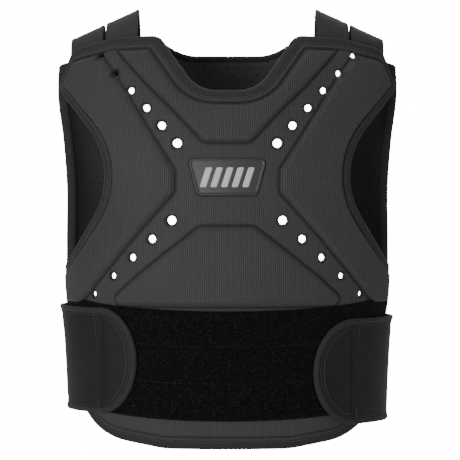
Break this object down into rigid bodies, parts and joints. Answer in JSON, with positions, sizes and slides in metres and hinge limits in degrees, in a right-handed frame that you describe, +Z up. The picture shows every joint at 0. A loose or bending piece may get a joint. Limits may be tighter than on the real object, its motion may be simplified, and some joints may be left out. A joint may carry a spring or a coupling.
{
  "type": "chest protector",
  "caption": "Padded chest protector: moulded front panel with crossed valley and vents, back panel, twin shoulder straps and two side wings closing with half-round tabs.",
  "frame": {"origin": "mid-plane of the wearer, midway between chest and back, at the height where the straps rest on the shoulders", "axes": "+Z up along the wearer's trunk, +X to the right seen from the front, -Y forward out of the chest"},
  "size_m": [0.387, 0.2273, 0.488],
  "materials": {
    "lining": "smooth knit, matt",
    "foam": "closed-cell foam, matt",
    "ribbed_cover": "fine vertical rib, slight sheen",
    "binding_tape": "folded woven tape, matt",
    "loop_pile": "brushed loop pile",
    "hook_tape": "moulded hook tape",
    "emblem_rubber": "moulded soft rubber, satin",
    "emblem_print": "light grey raised rubber",
    "strap_webbing": "hemmed stretch fabric",
    "wing_stretch": "smooth stretch fabric, matt"
  },
  "bodies": {
    "back": {"back_inner_lining": "lining", "back_foam_core": "foam", "back_outer_cover": "ribbed_cover", "back_edge_binding": "binding_tape", "strap_loop_patch_left": "loop_pile", "wing_left_root": "wing_stretch", "strap_left_inner_rear": "strap_webbing", "strap_left_inner_hook_pad": "hook_tape", "strap_left_outer_rear": "strap_webbing", "strap_left_outer_hook_pad": "hook_tape", "strap_loop_patch_right": "loop_pile", "wing_right_root": "wing_stretch", "strap_right_inner_rear": "strap_webbing", "strap_right_inner_hook_pad": "hook_tape", "strap_right_outer_rear": "strap_webbing", "strap_right_outer_hook_pad": "hook_tape"},
    "front": {"front_inner_lining": "lining", "front_foam_core": "foam", "front_outer_cover": "ribbed_cover", "front_edge_binding": "binding_tape", "loop_strip_upper": "loop_pile", "loop_strip_middle": "loop_pile", "loop_strip_lower": "loop_pile", "emblem_patch": "emblem_rubber", "emblem_print": "emblem_print", "strap_left_inner_front": "strap_webbing", "strap_left_outer_front": "strap_webbing", "strap_right_inner_front": "strap_webbing", "strap_right_outer_front": "strap_webbing"},
    "wing_left": {"wing_left_band": "wing_stretch", "wing_left_binding": "binding_tape"},
    "tab_left": {"tab_left_panel": "wing_stretch", "tab_left_binding": "binding_tape", "tab_left_hook_patch": "hook_tape"},
    "wing_right": {"wing_right_band": "wing_stretch", "wing_right_binding": "binding_tape"},
    "tab_right": {"tab_right_panel": "wing_stretch", "tab_right_binding": "binding_tape", "tab_right_hook_patch": "hook_tape"}
  },
  "joints": [
    {"name": "front_lift", "type": "hinge", "parent": "back", "child": "front", "pos_m": [0, 0, 0.032], "axis": [-1, 0, 0], "range_deg": [0, 40]},
    {"name": "wing_left_swing", "type": "hinge", "parent": "back", "child": "wing_left", "pos_m": [-0.1795, 0.034, -0.3625], "axis": [0, 0, -1], "range_deg": [0, 150]},
    {"name": "wing_right_swing", "type": "hinge", "parent": "back", "child": "wing_right", "pos_m": [0.1795, 0.034, -0.375], "axis": [0, 0, 1], "range_deg": [0, 150]},
    {"name": "tab_left_peel", "type": "hinge", "parent": "wing_left", "child": "tab_left", "pos_m": [-0.142, -0.0832, -0.304], "axis": [0, 0.0539, -0.9985], "range_deg": [0, 100]},
    {"name": "tab_right_peel", "type": "hinge", "parent": "wing_right", "child": "tab_right", "pos_m": [0.142, -0.0832, -0.304], "axis": [0, -0.0539, 0.9985], "range_deg": [0, 100]}
  ],
  "couplings": [
    {"joint": "wing_left_swing", "follows": "front_lift", "ratio": 3.75},
    {"joint": "wing_right_swing", "follows": "front_lift", "ratio": 3.75}
  ]
}
